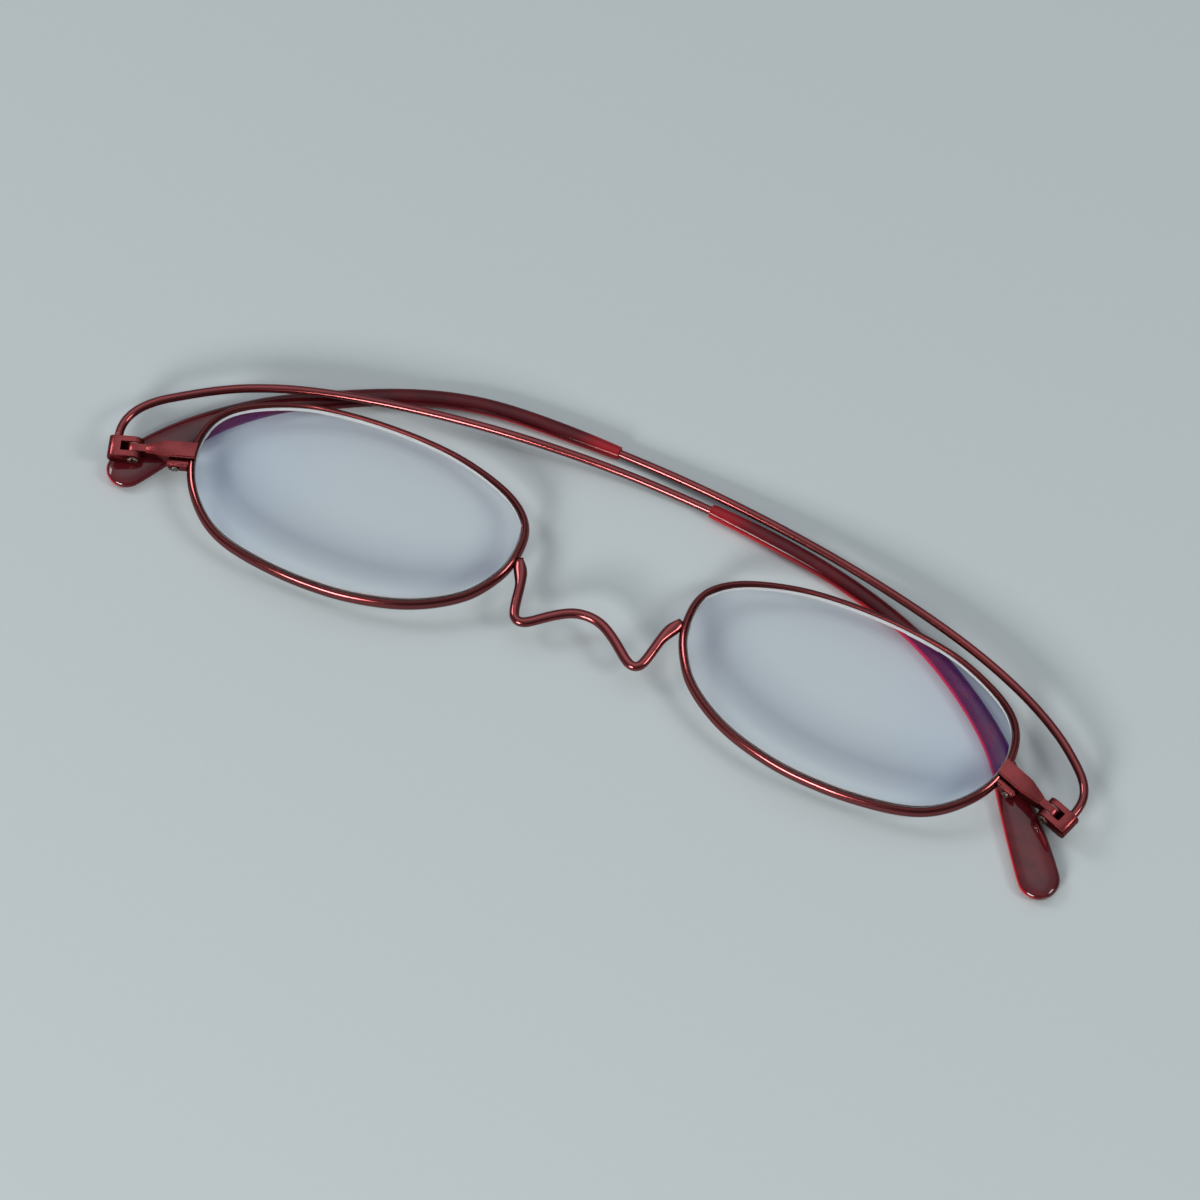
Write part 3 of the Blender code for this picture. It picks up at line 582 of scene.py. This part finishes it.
def sky():
    """A pale room, brightest overhead where the flat faces and the lenses mirror it."""
    world = bpy.data.worlds.new("studio")
    bpy.context.scene.world = world
    world.use_nodes = True
    room = Nodes(world.node_tree)
    light = room.tree.nodes["Background"]
    light.inputs["Color"].default_value = SKY_COLOUR
    facing = room.vectors("DOT_PRODUCT", room.node("TexCoord", output="Generated"), SKY_MIDDLE)
    wide, narrow = [strength * room.ramp(facing, start, 1.0) for strength, start in SKY_GLOWS]
    room.feed(light.inputs["Strength"], SKY_LOWEST + (wide + narrow))


def paper_floor():
    bpy.ops.mesh.primitive_plane_add(size=FLOOR_SIZE, location=(0, 0, FLOOR_LEVEL))
    floor = bpy.context.object
    floor.name = "floor"
    paint = Paint("floor_paper")
    paint.set(Base_Color=paint.mix(paint.noise(scale=900), *FLOOR_COLOURS))
    paint.set(Roughness=0.85, Specular_IOR_Level=0.2)
    floor.data.materials.append(paint.material)


def lamp(name, place, size, watts, colour):
    """A soft oblong lamp that faces the glasses."""
    bpy.ops.object.light_add(type="AREA", location=place)
    made = bpy.context.object
    made.name = name
    made.data.shape = "RECTANGLE"
    made.data.size, made.data.size_y = size
    made.data.energy = watts
    made.data.color = colour
    made.rotation_euler = (-Vector(place)).to_track_quat("-Z", "Y").to_euler()


# The glasses

def round_piece(kind, work, side, body, slot, paint, *shape, **more):
    """Replaces a round CAD piece by its smooth skin."""
    node = f"{kind}_{side}"
    settle(smooth_skin(node, f"{kind}_{work}_{side}", *shape, **more), body, node, slot, paint)


def milled_piece(kind, work, side, body, slot, paint, ease):
    """Replaces a milled or turned CAD piece by a skin with eased edges."""
    node = f"{kind}_{side}"
    settle(machined_skin(node, f"{kind}_{work}_{side}", ease), body, node, slot, paint)


def bridge():
    piece = smooth_skin("bridge_wire", "bridge_drawn", BRIDGE_SWELL)
    for end, toward in BRIDGE_ENDS:
        flare(piece, end, toward)
    settle(piece, "front", "bridge_wire", "frame_metal", drawn)


def front(side):
    """One side of the front: rim, lens, end piece, rim lock with its screw, and washers."""
    round_piece("rim", "drawn", side, "front", "frame_metal", drawn, RIM_SWELL, RIM_CREASE)
    lens(side)
    for kind in ("end_piece", "rim_lock"):
        milled_piece(kind, "milled", side, "front", "frame_metal", milled, PLATE_EASE)
    milled_piece("rim_lock_screw", "turned", side, "front", "screw_steel", steel, LOCK_SCREW_EASE)
    for level in ("upper", "lower"):
        milled_piece("hinge_washer", "cut", f"{level}_{side}", "front", "washer_plastic", nylon,
                     WASHER_EASE)


def temple(side):
    """One temple: fork, hinge screw, wire and tip."""
    body = "temple_" + side
    hinge = hinges[side + "_temple_hinge"]
    fork = machined_skin("hinge_fork_" + side, "hinge_fork_milled_" + side, FORK_EASE)
    web_under_slot(fork, hinge)
    settle(fork, body, "hinge_fork_" + side, "frame_metal", milled)
    ringed = stained_steel_and_highlight("hinge_steel_" + side, hinge["pos_m"], hinge["axis"])
    milled_piece("hinge_screw", "turned", side, body, "screw_steel", ringed, HINGE_SCREW_EASE)
    round_piece("temple_wire", "drawn", side, body, "frame_metal", drawn, WIRE_SWELL)
    plastic = tip_plastic(side, TIP_STARTS[side])
    round_piece("temple_tip", "moulded", side, body, "tip_plastic", plastic, TIP_SWELL,
                cut_end=(TIP_STARTS[side], CUT_REACH))


camera()
sky()
paper_floor()
for settings in LAMPS:
    lamp(*settings)

drawn = wine_coating("wine_drawn", roughness=0.14, flake_share=0.08, coat=0.60,
                     grain=0.0002 * MM, drift_scale=70)
milled = wine_coating("wine_milled", roughness=0.25, flake_share=0.12, coat=0.25,
                      grain=0.0004 * MM, drift_scale=240)
steel = stained_steel_and_highlight("screw_steel")
nylon = washer_nylon()
clear_glass = lens_glass()
frosted_glass = ground_edge()

bridge()
for side in ("left", "right"):
    front(side)
    temple(side)

bpy.context.scene.view_settings.view_transform = "Standard"
